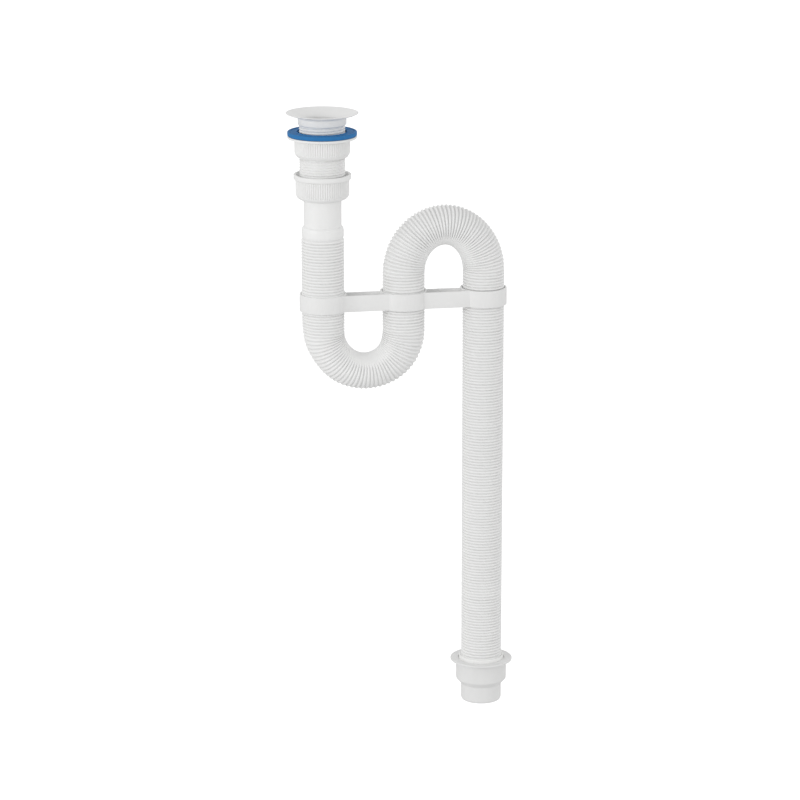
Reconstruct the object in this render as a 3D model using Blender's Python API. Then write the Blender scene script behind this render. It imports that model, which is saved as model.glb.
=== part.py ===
"""Flexible sink trap: strainer waste, two ribbed nuts, folded S-shaped hose, clip and outlet reducer.

Units are metres and +Z is up. The origin is on the axis of the waste tail, in the plane where the
underside of the waste flange meets the sink. +X runs from the inlet limb of the hose towards the
outlet limb, and +Y points to the back.
"""

import math

import bmesh
import bpy
import numpy as np
from mathutils import Matrix, Vector

# Waste flange and its threaded tail
FLANGE_RADIUS = 0.0350
FLANGE_RIM = 0.0016
RIM_EDGE = 0.0008
SEAT_WIDTH = 0.0032
FLANGE_CONE_DEPTH = 0.0042
COLLAR_HEIGHT = 0.0052
COLLAR_STEP = 0.00125
THREAD_RUNOUT = 0.0018
TAIL_WALL = 0.00355
TAIL_END_CHAMFER = 0.0008
CUFF_SEAT_WIDTH = 0.00085
DISH_DEPTH = 0.0050
STRAINER_SPOKES = 6
STRAINER_TURN_DEG = 15.0
STRAINER_DROP = 0.0048
STRAINER_BAR_WIDTH = 0.0022
STRAINER_BAR_HEIGHT = 0.0030
STRAINER_HUB_RADIUS = 0.0040

# Sink gasket, and the space for the sink above it
SINK_SPACE = 0.0164
GASKET_THICKNESS = 0.0040
GASKET_WIDTH = 0.0096
GASKET_CLEARANCE = 0.0004
GASKET_EDGE = 0.0008

# Flange nut
FLANGE_NUT_WALL = 0.00435
FLANGE_NUT_FLANGE = 0.0024
FLANGE_NUT_EDGE = 0.0006
FLANGE_NUT_HEIGHT = 0.0201
FLANGE_NUT_CHAMFER = 0.0046
FLANGE_NUT_FOOT_WIDTH = 0.0019
THREAD_ENTRY = 0.0010

# Bare thread between the nuts
FREE_THREAD = 0.0169

# Coupling nut and its seal
COUPLING_WALL = 0.0035
COUPLING_HEIGHT = 0.0245
COUPLING_LIP_STEP = 0.00185
COUPLING_LIP_HEIGHT = 0.0046
COUPLING_LIP_WALL = 0.00275
COUPLING_FOOT_WIDTH = 0.00105
COUPLING_FLOOR = 0.0028
COUPLING_ROUND_STEPS = 4
INLET_SEAL_HEIGHT = 0.0028
INLET_SEAL_TAPER = 0.0009

# Ribs on both nuts
NUT_RIBS = 36
RIB_DEPTH = 0.0006

# Hose: cuff, step, band and folds
CUFF_RADIUS = 0.01815
CUFF_INSERTION = 0.0260
CUFF_SHOWN = 0.0263
STEP_HEIGHT = 0.0035
STEP_SHOULDER_SHARE = 0.7
BAND_RADIUS = 0.02025
BAND_HEIGHT = 0.0083
FOLD_RADIUS_INLET = 0.0207
FOLD_RADIUS_OUTLET = 0.0200
FOLD_DEPTH = 0.0015
FOLD_PITCH = 0.0058
HOSE_WALL = 0.0008
HOSE_SIDES = 16

# Hose: limbs and bends
LIMB_PITCH = 0.0788
INLET_LIMB = 0.1052
RISER = 0.0562
OUTLET_LIMB = 0.3958
LOWER_BEND_DROP = 0.0395
LOWER_BEND_FLATTENING = 0.145
LOWER_BEND_LEAN = 0.0021
CROWN_RISE = 0.0460
CROWN_FLATTENING = 0.045
BEND_WIDENING = 0.030
BORE_STEPS_PER_BEND = 16
ROUTE_SAMPLES = 400

# Bracket
BRACKET_DROP = 0.0171
BRACKET_HEIGHT = 0.0166
RING_WALL = 0.0019
BAR_WALL = 0.0018
BAR_ROOT = 0.0006
BAR_EDGE_INSET = 0.0002
BAR_FRONT_INSET = 0.0074
BAR_BACK_Y = 0.0018

# Outlet reducer and its seal
OUTLET_SEAL_WALL = 0.0024
OUTLET_SEAL_HEIGHT = 0.0135
OUTLET_SEAL_PROUD = 0.0010
OUTLET_SEAL_EDGE = 0.00035
OUTLET_SLOT_WIDTH = 0.0012
OUTLET_SLOT_DEPTH = 0.0026
OUTLET_WALL = 0.0020
OUTLET_FLANGE_WIDTH = 0.0057
OUTLET_FLANGE_THICKNESS = 0.0018
OUTLET_FLANGE_EDGE = 0.00045
OUTLET_BODY_HEIGHT = 0.0212
OUTLET_CHAMFER_HEIGHT = 0.0051
HOSE_INSERTION = 0.0187
SPIGOT_RADIUS = 0.0200
SPIGOT_LENGTH = 0.0169
SPIGOT_ROUND = 0.0012
SPIGOT_ROUND_STEPS = 3
SPIGOT_WALL = 0.0020

# Fits shared by the pieces
SEAT_GAP = 0.0003
THREAD_CLEARANCE = 0.0003
SLIDE_CLEARANCE = 0.0003
TURNED_SIDES = 36
NUT_SIDES = 2 * NUT_RIBS

# Shading, and the marks on the joint axes
EDGE_CREASE_DEG = 35.0
HOSE_CREASE_DEG = 20.0
AXIS_MARK_SIZE = 0.0100

# Radii that follow from the fits
CUFF_HOLE_RADIUS = CUFF_RADIUS + SLIDE_CLEARANCE
TAIL_BORE_RADIUS = CUFF_HOLE_RADIUS - CUFF_SEAT_WIDTH
THREAD_RADIUS = CUFF_HOLE_RADIUS + TAIL_WALL
NUT_BORE_RADIUS = THREAD_RADIUS + THREAD_CLEARANCE
COLLAR_RADIUS = THREAD_RADIUS + COLLAR_STEP
GASKET_BORE_RADIUS = COLLAR_RADIUS + GASKET_CLEARANCE
GASKET_RADIUS = GASKET_BORE_RADIUS + GASKET_WIDTH
FLANGE_NUT_RADIUS = NUT_BORE_RADIUS + FLANGE_NUT_WALL
COUPLING_RADIUS = NUT_BORE_RADIUS + COUPLING_WALL
COUPLING_LIP_RADIUS = COUPLING_RADIUS + COUPLING_LIP_STEP
OUTLET_SEAL_BORE_RADIUS = FOLD_RADIUS_OUTLET + SLIDE_CLEARANCE
OUTLET_SEAL_RADIUS = OUTLET_SEAL_BORE_RADIUS + OUTLET_SEAL_WALL
OUTLET_MOUTH_RADIUS = OUTLET_SEAL_RADIUS + SEAT_GAP
OUTLET_BODY_RADIUS = OUTLET_MOUTH_RADIUS + OUTLET_WALL
OUTLET_FLANGE_RADIUS = OUTLET_BODY_RADIUS + OUTLET_FLANGE_WIDTH

# Heights from the sink downwards
SEAT_Z = 0.0
GASKET_TOP_Z = SEAT_Z - SINK_SPACE
GASKET_BOTTOM_Z = GASKET_TOP_Z - GASKET_THICKNESS
FLANGE_NUT_TOP_Z = GASKET_BOTTOM_Z - SEAT_GAP
FLANGE_NUT_BOTTOM_Z = FLANGE_NUT_TOP_Z - FLANGE_NUT_HEIGHT
COUPLING_TOP_Z = FLANGE_NUT_BOTTOM_Z - FREE_THREAD
COUPLING_BOTTOM_Z = COUPLING_TOP_Z - COUPLING_HEIGHT
SHOULDER_Z = COUPLING_BOTTOM_Z + COUPLING_FLOOR
INLET_SEAL_BOTTOM_Z = SHOULDER_Z + SEAT_GAP
INLET_SEAL_TOP_Z = INLET_SEAL_BOTTOM_Z + INLET_SEAL_HEIGHT
TAIL_END_Z = INLET_SEAL_TOP_Z + SEAT_GAP
CUFF_TOP_Z = TAIL_END_Z + CUFF_INSERTION
CUFF_END_Z = COUPLING_BOTTOM_Z - CUFF_SHOWN
LOWER_BEND_Z = CUFF_END_Z - INLET_LIMB
CROWN_Z = LOWER_BEND_Z + RISER
BRACKET_TOP_Z = CROWN_Z - BRACKET_DROP
OUTLET_TOP_Z = CROWN_Z - OUTLET_LIMB
OUTLET_FLOOR_Z = OUTLET_TOP_Z - HOSE_INSERTION
HOSE_END_Z = OUTLET_FLOOR_Z + SEAT_GAP
OUTLET_X = 2 * LIMB_PITCH


def clear_scene():
    """Remove whatever the open file holds."""
    for item in list(bpy.data.objects):
        bpy.data.objects.remove(item, do_unlink=True)


def plastic(name, colour, roughness):
    """A moulded plastic or rubber: one Principled surface."""
    material = bpy.data.materials.new(name)
    material.use_nodes = True
    shader = material.node_tree.nodes["Principled BSDF"]
    shader.inputs["Base Color"].default_value = (*colour, 1.0)
    shader.inputs["Roughness"].default_value = roughness
    shader.inputs["Metallic"].default_value = 0.0
    return material


def add_object(name, bm, material=None, parent=None, sharp_angle=EDGE_CREASE_DEG):
    """Turn a bmesh into a named, smooth-shaded object."""
    bmesh.ops.recalc_face_normals(bm, faces=bm.faces)
    mesh = bpy.data.meshes.new(name)
    bm.to_mesh(mesh)
    bm.free()
    mesh.shade_smooth()
    mesh.set_sharp_from_angle(angle=math.radians(sharp_angle))
    item = bpy.data.objects.new(name, mesh)
    bpy.context.scene.collection.objects.link(item)
    if material:
        mesh.materials.append(material)
    item.parent = parent
    return item


def add_axis(name, location):
    """An empty on a joint's axis, which carries the pieces that move about it."""
    axis = bpy.data.objects.new(name, None)
    axis.empty_display_size = AXIS_MARK_SIZE
    bpy.context.scene.collection.objects.link(axis)
    axis.location = location
    return axis


def around(radius, sides):
    """Corner radius of a regular polygon whose flats lie at the given radius."""
    return radius / math.cos(math.pi / sides)


def turned(profile, sides):
    """Spin a closed profile of (radius, height) points about +Z into a ring."""
    bm = bmesh.new()
    corners = [bm.verts.new((radius, 0.0, height)) for radius, height in profile]
    edges = [bm.edges.new((corner, corners[n - 1])) for n, corner in enumerate(corners)]
    bmesh.ops.spin(
        bm,
        geom=corners + edges,
        axis=(0.0, 0.0, 1.0),
        cent=(0.0, 0.0, 0.0),
        angle=2 * math.pi,
        steps=sides,
        use_merge=True,
        use_duplicate=False,
    )
    return bm


def hung_from(axis, profile):
    """A (radius, height) profile in the frame of the axis that carries the piece."""
    return [(radius, height - axis.location.z) for radius, height in profile]


def rounded_corner(centre, radius, start, end, steps):
    """Points of an arc in a (radius, height) profile, with angles in degrees from the radial axis."""
    angles = np.radians(np.linspace(start, end, steps))
    return [(centre[0] + radius * math.cos(a), centre[1] + radius * math.sin(a)) for a in angles]


def box(low, high):
    """A closed block between two corners."""
    low, high = Vector(low), Vector(high)
    bm = bmesh.new()
    bmesh.ops.create_cube(bm, size=1.0)
    bmesh.ops.scale(bm, vec=high - low, verts=bm.verts)
    bmesh.ops.translate(bm, vec=(low + high) / 2, verts=bm.verts)
    return bm


def weld_on(item, guide):
    """Join a guide shape to an object with a Boolean union, and leave the guide out of the build."""
    guide.hide_render = True
    guide.display_type = "WIRE"
    union = item.modifiers.new("join_" + guide.name, "BOOLEAN")
    union.operation = "UNION"
    union.solver = "EXACT"
    union.object = guide


def make_waste_flange(material):
    """Dish, strainer cross, collar and tail, moulded as one piece."""
    dish_foot_z = SEAT_Z + FLANGE_RIM - DISH_DEPTH
    rim_top_z = SEAT_Z + FLANGE_RIM
    seat_radius = FLANGE_RADIUS - RIM_EDGE
    collar_top_z = SEAT_Z - FLANGE_CONE_DEPTH
    collar_bottom_z = collar_top_z - COLLAR_HEIGHT
    cuff_bore = around(CUFF_HOLE_RADIUS, TURNED_SIDES)
    bore_step_z = CUFF_TOP_Z + SEAT_GAP
    profile = [
        (FLANGE_RADIUS - RIM_EDGE / 2, rim_top_z),
        (FLANGE_RADIUS, rim_top_z - RIM_EDGE / 2),
        (FLANGE_RADIUS, SEAT_Z + RIM_EDGE),
        (seat_radius, SEAT_Z),
        (seat_radius - SEAT_WIDTH, SEAT_Z),
        (COLLAR_RADIUS, collar_top_z),
        (COLLAR_RADIUS, collar_bottom_z),
        (THREAD_RADIUS, collar_bottom_z - THREAD_RUNOUT),
        (THREAD_RADIUS, TAIL_END_Z + TAIL_END_CHAMFER),
        (THREAD_RADIUS - TAIL_END_CHAMFER, TAIL_END_Z),
        (cuff_bore, TAIL_END_Z),
        (cuff_bore, bore_step_z),
        (TAIL_BORE_RADIUS, bore_step_z),
        (TAIL_BORE_RADIUS, dish_foot_z - RIM_EDGE),
        (TAIL_BORE_RADIUS + RIM_EDGE, dish_foot_z),
        (seat_radius - RIM_EDGE, rim_top_z),
    ]
    flange = add_object("waste_flange", turned(profile, TURNED_SIDES), material)
    cross_top_z = dish_foot_z - STRAINER_DROP
    cross = strainer_cross(cross_top_z - STRAINER_BAR_HEIGHT, cross_top_z)
    weld_on(flange, add_object("strainer_cross", cross))
    return flange


def strainer_cross(low, high):
    """Spokes that meet in a round hub, and reach into the wall of the waste's bore."""
    half = STRAINER_BAR_WIDTH / 2
    reach = TAIL_BORE_RADIUS + half
    foot = math.sqrt(STRAINER_HUB_RADIUS**2 - half**2)
    spoke = [(foot, -half), (reach, -half), (reach, half), (foot, half)]
    bm = bmesh.new()
    outline = []
    for n in range(STRAINER_SPOKES):
        angle = 2 * math.pi * n / STRAINER_SPOKES + math.radians(STRAINER_TURN_DEG)
        turn = Matrix.Rotation(angle, 3, "Z")
        outline += [bm.verts.new(turn @ Vector((x, y, low))) for x, y in spoke]
    foot_face = bm.faces.new(outline)
    grown = bmesh.ops.extrude_face_region(bm, geom=[foot_face])["geom"]
    lifted = [part for part in grown if isinstance(part, bmesh.types.BMVert)]
    bmesh.ops.translate(bm, vec=(0.0, 0.0, high - low), verts=lifted)
    return bm


def make_sink_gasket(material, axis):
    """Flat rubber ring that clears the collar, and lies on the flange nut."""
    bore = around(GASKET_BORE_RADIUS, TURNED_SIDES)
    profile = [
        (GASKET_RADIUS - GASKET_EDGE, GASKET_TOP_Z),
        (GASKET_RADIUS, GASKET_TOP_Z - GASKET_EDGE),
        (GASKET_RADIUS, GASKET_BOTTOM_Z + GASKET_EDGE),
        (GASKET_RADIUS - GASKET_EDGE, GASKET_BOTTOM_Z),
        (bore, GASKET_BOTTOM_Z),
        (bore, GASKET_TOP_Z),
    ]
    return add_object("sink_gasket", turned(hung_from(axis, profile), TURNED_SIDES), material, axis)


def make_flange_nut(material, axis):
    """Clamping nut: thin flange as wide as the gasket, ribbed body and a chamfered foot."""
    bore = around(NUT_BORE_RADIUS, NUT_SIDES)
    flange_low_z = FLANGE_NUT_TOP_Z - FLANGE_NUT_FLANGE
    chamfer_z = FLANGE_NUT_BOTTOM_Z + FLANGE_NUT_CHAMFER
    profile = [
        (GASKET_RADIUS, FLANGE_NUT_TOP_Z),
        (GASKET_RADIUS, flange_low_z + FLANGE_NUT_EDGE),
        (GASKET_RADIUS - FLANGE_NUT_EDGE, flange_low_z),
        (FLANGE_NUT_RADIUS, flange_low_z),
        (FLANGE_NUT_RADIUS, chamfer_z),
        (bore + FLANGE_NUT_FOOT_WIDTH, FLANGE_NUT_BOTTOM_Z),
        (bore + THREAD_ENTRY, FLANGE_NUT_BOTTOM_Z),
        (bore, FLANGE_NUT_BOTTOM_Z + THREAD_ENTRY),
        (bore, FLANGE_NUT_TOP_Z - THREAD_ENTRY),
        (bore + THREAD_ENTRY, FLANGE_NUT_TOP_Z),
    ]
    nut = turned(hung_from(axis, profile), NUT_SIDES)
    cut_ribs(nut, FLANGE_NUT_RADIUS, chamfer_z - axis.location.z, flange_low_z - axis.location.z)
    return add_object("flange_nut", nut, material, axis)


def cut_ribs(nut, wall_radius, low, high):
    """Draw in every second column of a nut's outer wall, between two heights in its own frame."""
    step = 2 * math.pi / NUT_SIDES
    slack = RIB_DEPTH / 10
    for corner in nut.verts:
        radius = math.hypot(corner.co.x, corner.co.y)
        column = round(math.atan2(corner.co.y, corner.co.x) / step)
        on_wall = abs(radius - wall_radius) < slack and low - slack < corner.co.z < high + slack
        if on_wall and column % 2:
            corner.co.xy *= (wall_radius - RIB_DEPTH) / radius


def make_inlet_seal(material, axis):
    """Ring round the cuff, between the end of the tail and the coupling nut's shoulder."""
    bore = around(CUFF_HOLE_RADIUS, TURNED_SIDES)
    outer = THREAD_RADIUS - SEAT_GAP
    profile = [
        (outer - INLET_SEAL_TAPER, INLET_SEAL_TOP_Z),
        (outer, INLET_SEAL_TOP_Z - INLET_SEAL_TAPER),
        (outer, INLET_SEAL_BOTTOM_Z),
        (bore, INLET_SEAL_BOTTOM_Z),
        (bore, INLET_SEAL_TOP_Z),
    ]
    return add_object("inlet_seal", turned(hung_from(axis, profile), TURNED_SIDES), material, axis)


def make_coupling_nut(material, axis):
    """Nut with a plain lip, a flared mouth, ribs and a rounded shoulder that closes on the cuff."""
    bore = around(NUT_BORE_RADIUS, NUT_SIDES)
    cuff_hole = around(CUFF_HOLE_RADIUS, NUT_SIDES)
    lip_low_z = COUPLING_TOP_Z - COUPLING_LIP_HEIGHT
    ribs_top_z = lip_low_z - RIB_DEPTH
    round_radius = COUPLING_RADIUS - cuff_hole - COUPLING_FOOT_WIDTH
    round_z = COUPLING_BOTTOM_Z + round_radius
    round_centre = (COUPLING_RADIUS - round_radius, round_z)
    profile = [
        (COUPLING_LIP_RADIUS, COUPLING_TOP_Z),
        (COUPLING_LIP_RADIUS, lip_low_z + RIB_DEPTH),
        (COUPLING_RADIUS, ribs_top_z),
        (COUPLING_RADIUS, round_z),
        *rounded_corner(round_centre, round_radius, -20.0, -90.0, COUPLING_ROUND_STEPS),
        (cuff_hole, COUPLING_BOTTOM_Z),
        (cuff_hole, SHOULDER_Z),
        (bore, SHOULDER_Z),
        (bore, lip_low_z),
        (COUPLING_LIP_RADIUS - COUPLING_LIP_WALL, COUPLING_TOP_Z),
    ]
    nut = turned(hung_from(axis, profile), NUT_SIDES)
    cut_ribs(nut, COUPLING_RADIUS, round_z - axis.location.z, ribs_top_z - axis.location.z)
    return add_object("coupling_nut", nut, material, axis)


def hose_route():
    """Centre line of the hose as (x, z, bend) rows: down, lower bend, up, crown and down again."""
    turn = np.linspace(0.0, math.pi, ROUTE_SAMPLES)
    half = LIMB_PITCH / 2
    flat = np.sin(turn) ** 2
    lower_x = half - half * np.cos(turn) + LOWER_BEND_LEAN * (1.0 - np.cos(turn) ** 4)
    lower_bend = np.column_stack((lower_x, LOWER_BEND_Z - LOWER_BEND_DROP * np.sin(turn), -flat))
    crown = np.column_stack((3 * half - half * np.cos(turn), CROWN_Z + CROWN_RISE * np.sin(turn), flat))
    inlet = [(0.0, CUFF_TOP_Z, 0.0)]
    outlet = [(OUTLET_X, HOSE_END_Z, 0.0)]
    return np.vstack((inlet, lower_bend, crown, outlet))


class HoseRoute:
    """Reads places and section sizes of the hose at a distance along its centre line."""

    def __init__(self):
        rows = hose_route()
        self.x, self.z, self.bend = rows.T
        steps = np.hypot(np.diff(self.x), np.diff(self.z))
        self.along = np.concatenate(([0.0], np.cumsum(steps)))
        self.length = self.along[-1]

    def section(self, distance, radius):
        """Corners of the hose's oval cross section at a distance along the route."""
        x = np.interp(distance, self.along, self.x)
        z = np.interp(distance, self.along, self.z)
        bend = np.interp(distance, self.along, self.bend)
        probe = LIMB_PITCH / ROUTE_SAMPLES
        ahead, behind = min(distance + probe, self.length), max(distance - probe, 0.0)
        dx = np.interp(ahead, self.along, self.x) - np.interp(behind, self.along, self.x)
        dz = np.interp(ahead, self.along, self.z) - np.interp(behind, self.along, self.z)
        tangent = Vector((dx, 0.0, dz)).normalized()
        side = Vector((0.0, 1.0, 0.0)).cross(tangent)
        flat = LOWER_BEND_FLATTENING * max(-bend, 0.0) + CROWN_FLATTENING * max(bend, 0.0)
        across = radius * (1.0 - flat)
        deep = radius * (1.0 + BEND_WIDENING * abs(bend))
        angles = [2 * math.pi * n / HOSE_SIDES for n in range(HOSE_SIDES)]
        centre = Vector((x, 0.0, z))
        return [
            centre + side * (across * math.cos(a)) + Vector((0.0, deep * math.sin(a), 0.0))
            for a in angles
        ]


def hose_outside(route):
    """(distance, radius) rows of the hose's outside: cuff, step, band and folds."""
    cuff_end = CUFF_TOP_Z - CUFF_END_Z
    band_start = cuff_end + STEP_HEIGHT
    folds_start = band_start + BAND_HEIGHT
    rise = BAND_RADIUS - CUFF_RADIUS
    rows = [
        (0.0, CUFF_RADIUS),
        (cuff_end, CUFF_RADIUS),
        (cuff_end + STEP_HEIGHT / 2, CUFF_RADIUS + STEP_SHOULDER_SHARE * rise),
        (band_start, BAND_RADIUS),
    ]
    folds = int((route.length - folds_start) / FOLD_PITCH)
    half_pitch = (route.length - folds_start) / (2 * folds)
    for n in range(2 * folds + 1):
        share = n / (2 * folds)
        crest = FOLD_RADIUS_INLET + share * (FOLD_RADIUS_OUTLET - FOLD_RADIUS_INLET)
        rows.append((folds_start + n * half_pitch, crest if n % 2 else crest - FOLD_DEPTH))
    return rows


def hose_inside(route):
    """(distance, radius) rows of the smooth bore, from the outlet back to the cuff."""
    cuff_end = CUFF_TOP_Z - CUFF_END_Z
    bore_cuff = CUFF_RADIUS - HOSE_WALL
    bore_inlet = FOLD_RADIUS_INLET - FOLD_DEPTH - HOSE_WALL
    bore_outlet = FOLD_RADIUS_OUTLET - FOLD_DEPTH - HOSE_WALL
    wide_start = cuff_end + STEP_HEIGHT + HOSE_WALL
    stations = [wide_start]
    for bend_start in (1, 1 + ROUTE_SAMPLES):
        picks = np.linspace(bend_start, bend_start + ROUTE_SAMPLES - 1, BORE_STEPS_PER_BEND + 1)
        stations += list(route.along[picks.astype(int)])
    stations.append(route.length)
    rows = []
    for distance in reversed(stations):
        share = (distance - wide_start) / (route.length - wide_start)
        rows.append((distance, bore_inlet + share * (bore_outlet - bore_inlet)))
    rows += [(cuff_end, bore_cuff), (0.0, bore_cuff)]
    return rows


def make_trap_hose(material):
    """One blown hose: rings along the outside and back along the bore, joined into one skin."""
    route = HoseRoute()
    bm = bmesh.new()
    rings = []
    for distance, radius in hose_outside(route) + hose_inside(route):
        rings.append([bm.verts.new(point) for point in route.section(distance, radius)])
    for n, ring in enumerate(rings):
        last = rings[n - 1]
        for side, corner in enumerate(ring):
            bm.faces.new((last[side - 1], last[side], corner, ring[side - 1]))
    return add_object("trap_hose", bm, material, sharp_angle=HOSE_CREASE_DEG)


def make_hose_bracket(material):
    """Three rings round the limbs, joined by two bars of two upright walls each."""
    bore = around(FOLD_RADIUS_INLET + SLIDE_CLEARANCE, TURNED_SIDES)
    outer = bore + RING_WALL
    low, high = BRACKET_TOP_Z - BRACKET_HEIGHT, BRACKET_TOP_Z
    profile = [(outer, high), (outer, low), (bore, low), (bore, high)]
    rings = bmesh.new()
    for limb in range(3):
        ring = turned(profile, TURNED_SIDES)
        bmesh.ops.translate(ring, vec=(limb * LIMB_PITCH, 0.0, 0.0), verts=ring.verts)
        piece = bpy.data.meshes.new("ring")
        ring.to_mesh(piece)
        ring.free()
        rings.from_mesh(piece)
        bpy.data.meshes.remove(piece)
    bracket = add_object("hose_bracket", rings, material)
    front_y = BAR_FRONT_INSET - outer
    walls = {"front": (front_y, front_y + BAR_WALL), "back": (BAR_BACK_Y - BAR_WALL, BAR_BACK_Y)}
    for span in range(2):
        for side, (near, far) in walls.items():
            reach = math.sqrt((bore + BAR_ROOT) ** 2 - min(abs(near), abs(far)) ** 2)
            left = (span * LIMB_PITCH + reach, near, low + BAR_EDGE_INSET)
            right = ((span + 1) * LIMB_PITCH - reach, far, high - BAR_EDGE_INSET)
            weld_on(bracket, add_object(f"bar_{side}_{span + 1}", box(left, right)))
    return bracket


def make_outlet_seal(material, axis):
    """Lip ring round the hose end, with a slot between its lip and the mouth of the reducer."""
    bore = around(OUTLET_SEAL_BORE_RADIUS, TURNED_SIDES)
    lip = OUTLET_SEAL_RADIUS - OUTLET_SLOT_WIDTH
    high = OUTLET_TOP_Z + OUTLET_SEAL_PROUD
    slot_z = OUTLET_TOP_Z - OUTLET_SLOT_DEPTH
    low = OUTLET_TOP_Z - OUTLET_SEAL_HEIGHT
    profile = [
        (lip - OUTLET_SEAL_EDGE, high),
        (lip, high - OUTLET_SEAL_EDGE),
        (lip, slot_z),
        (OUTLET_SEAL_RADIUS, slot_z),
        (OUTLET_SEAL_RADIUS, low),
        (bore, low),
        (bore, high - OUTLET_SEAL_EDGE),
        (bore + OUTLET_SEAL_EDGE, high),
    ]
    return add_object("outlet_seal", turned(hung_from(axis, profile), TURNED_SIDES), material, axis)


def make_outlet_reducer(material, axis):
    """Stop flange, wide body, chamfer and spigot, with a floor that the hose end stands on."""
    mouth = around(OUTLET_MOUTH_RADIUS, TURNED_SIDES)
    flange_low_z = OUTLET_TOP_Z - OUTLET_FLANGE_THICKNESS
    body_low_z = OUTLET_TOP_Z - OUTLET_BODY_HEIGHT
    spigot_top_z = body_low_z - OUTLET_CHAMFER_HEIGHT
    spigot_end_z = spigot_top_z - SPIGOT_LENGTH
    spigot_bore = SPIGOT_RADIUS - SPIGOT_WALL
    round_centre = (SPIGOT_RADIUS - SPIGOT_ROUND, spigot_end_z + SPIGOT_ROUND)
    profile = [
        (OUTLET_FLANGE_RADIUS - OUTLET_FLANGE_EDGE, OUTLET_TOP_Z),
        (OUTLET_FLANGE_RADIUS, OUTLET_TOP_Z - OUTLET_FLANGE_EDGE),
        (OUTLET_FLANGE_RADIUS, flange_low_z),
        (OUTLET_BODY_RADIUS, flange_low_z),
        (OUTLET_BODY_RADIUS, body_low_z),
        (SPIGOT_RADIUS, spigot_top_z),
        *rounded_corner(round_centre, SPIGOT_ROUND, 0.0, -90.0, SPIGOT_ROUND_STEPS),
        (spigot_bore, spigot_end_z),
        (spigot_bore, OUTLET_FLOOR_Z),
        (mouth, OUTLET_FLOOR_Z),
        (mouth, OUTLET_TOP_Z),
    ]
    local = hung_from(axis, profile)
    return add_object("outlet_reducer", turned(local, TURNED_SIDES), material, axis)


def build():
    """Make every piece, with those that move hung from an empty on their joint's axis."""
    clear_scene()
    white = plastic("white_plastic", (0.80, 0.80, 0.79), 0.38)
    hose_white = plastic("hose_plastic", (0.79, 0.79, 0.78), 0.42)
    outlet_white = plastic("outlet_plastic", (0.72, 0.72, 0.71), 0.40)
    blue = plastic("blue_rubber", (0.03, 0.14, 0.38), 0.55)
    pale_rubber = plastic("pale_rubber", (0.80, 0.80, 0.78), 0.60)
    black_rubber = plastic("black_rubber", (0.03, 0.03, 0.03), 0.65)
    clamp_axis = add_axis("clamp_axis", (0.0, 0.0, GASKET_BOTTOM_Z))
    coupling_axis = add_axis("coupling_axis", (0.0, 0.0, SHOULDER_Z))
    outlet_axis = add_axis("outlet_axis", (OUTLET_X, 0.0, OUTLET_TOP_Z))
    make_waste_flange(white)
    make_sink_gasket(blue, clamp_axis)
    make_flange_nut(white, clamp_axis)
    make_inlet_seal(black_rubber, coupling_axis)
    make_coupling_nut(white, coupling_axis)
    make_trap_hose(hose_white)
    make_hose_bracket(hose_white)
    make_outlet_seal(pale_rubber, outlet_axis)
    make_outlet_reducer(outlet_white, outlet_axis)


build()
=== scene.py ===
"""Looks of the flexible sink trap: smooth mouldings, true folds, thread and ribs, plastics and studio.

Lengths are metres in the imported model's own frame: +Z is up, the origin lies on the waste tail's axis
in the plane of the flange's underside, +X runs towards the outlet limb and +Y to the back.
"""

from __future__ import annotations

import logging
import math
from collections.abc import Callable
from dataclasses import dataclass, field
from enum import Enum

import bpy
import numpy as np
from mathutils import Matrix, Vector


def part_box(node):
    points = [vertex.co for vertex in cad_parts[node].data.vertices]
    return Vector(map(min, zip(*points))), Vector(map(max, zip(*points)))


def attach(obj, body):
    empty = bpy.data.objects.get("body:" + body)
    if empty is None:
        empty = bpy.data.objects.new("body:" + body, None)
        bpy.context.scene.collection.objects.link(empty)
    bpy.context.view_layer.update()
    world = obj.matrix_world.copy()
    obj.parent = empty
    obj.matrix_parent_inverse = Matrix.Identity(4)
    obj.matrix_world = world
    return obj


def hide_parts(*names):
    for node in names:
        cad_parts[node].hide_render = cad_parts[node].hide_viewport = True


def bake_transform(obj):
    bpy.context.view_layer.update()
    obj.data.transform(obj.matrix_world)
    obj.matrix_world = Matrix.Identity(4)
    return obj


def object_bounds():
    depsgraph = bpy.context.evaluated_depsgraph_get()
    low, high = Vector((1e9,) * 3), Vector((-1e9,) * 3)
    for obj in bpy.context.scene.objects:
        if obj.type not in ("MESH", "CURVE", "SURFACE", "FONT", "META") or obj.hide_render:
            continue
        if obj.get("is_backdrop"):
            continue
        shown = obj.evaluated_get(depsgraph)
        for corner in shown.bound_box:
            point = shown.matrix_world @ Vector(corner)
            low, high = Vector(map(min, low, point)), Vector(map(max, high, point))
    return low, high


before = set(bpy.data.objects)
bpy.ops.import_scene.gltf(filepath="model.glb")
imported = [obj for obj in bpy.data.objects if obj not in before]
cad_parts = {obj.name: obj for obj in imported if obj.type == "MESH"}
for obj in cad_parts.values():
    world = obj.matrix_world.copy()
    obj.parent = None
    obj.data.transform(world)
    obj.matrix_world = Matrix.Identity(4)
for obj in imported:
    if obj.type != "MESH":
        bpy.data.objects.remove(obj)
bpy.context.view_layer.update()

LOG = logging.getLogger("sink_trap")
TURN = 2.0 * math.pi
PAINTED_SHADE_ATTRIBUTE = "painted_shade_mask"
FILLET_SHARE = 0.45

Profile = list[tuple[float, float, float]]
RadiusChange = Callable[[np.ndarray, np.ndarray, np.ndarray], np.ndarray]


class Body(Enum):
    """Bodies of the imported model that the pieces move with."""

    TRAP = "trap"
    GASKET = "gasket"
    CLAMP = "clamp"
    SEAL = "seal"
    COUPLING = "coupling"
    OUTLET = "outlet"


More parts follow.
